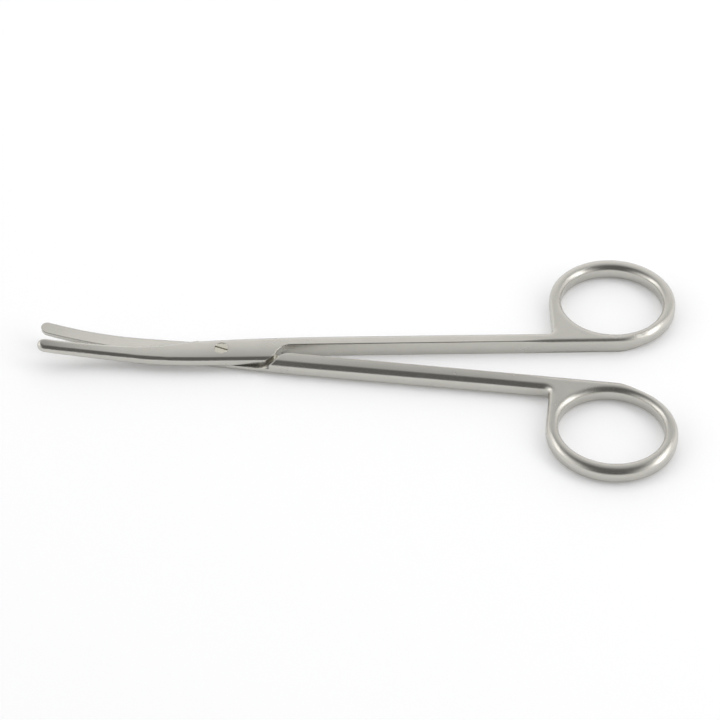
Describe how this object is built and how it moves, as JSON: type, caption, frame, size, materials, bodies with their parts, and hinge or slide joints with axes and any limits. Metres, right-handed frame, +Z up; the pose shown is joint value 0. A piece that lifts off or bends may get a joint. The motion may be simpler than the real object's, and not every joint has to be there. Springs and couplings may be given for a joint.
{
  "type": "dissecting scissors",
  "caption": "Curved, blunt-tipped dissecting scissors with ring handles and a flush slotted pivot screw.",
  "frame": {"origin": "the pivot screw's axis in the flat underside that the scissors lie on", "axes": "+Z up along the screw's axis, towards the slotted head and the side the blades curve to; +X from the screw towards the finger rings along the middle of the opening, so the tips point to -X; +Y towards the ring of the top half"},
  "size_m": [0.1436, 0.0668, 0.0067],
  "materials": {
    "forged_steel": "satin",
    "screw_steel": "satin"
  },
  "bodies": {
    "lower": {"bottom_half": "forged_steel", "pivot_screw": "screw_steel"},
    "upper": {"top_half": "forged_steel"}
  },
  "joints": [
    {"name": "pivot", "type": "hinge", "parent": "lower", "child": "upper", "pos_m": [0, 0, 0], "axis": [0, 0, 1], "range_deg": [-8.3, 120]}
  ]
}
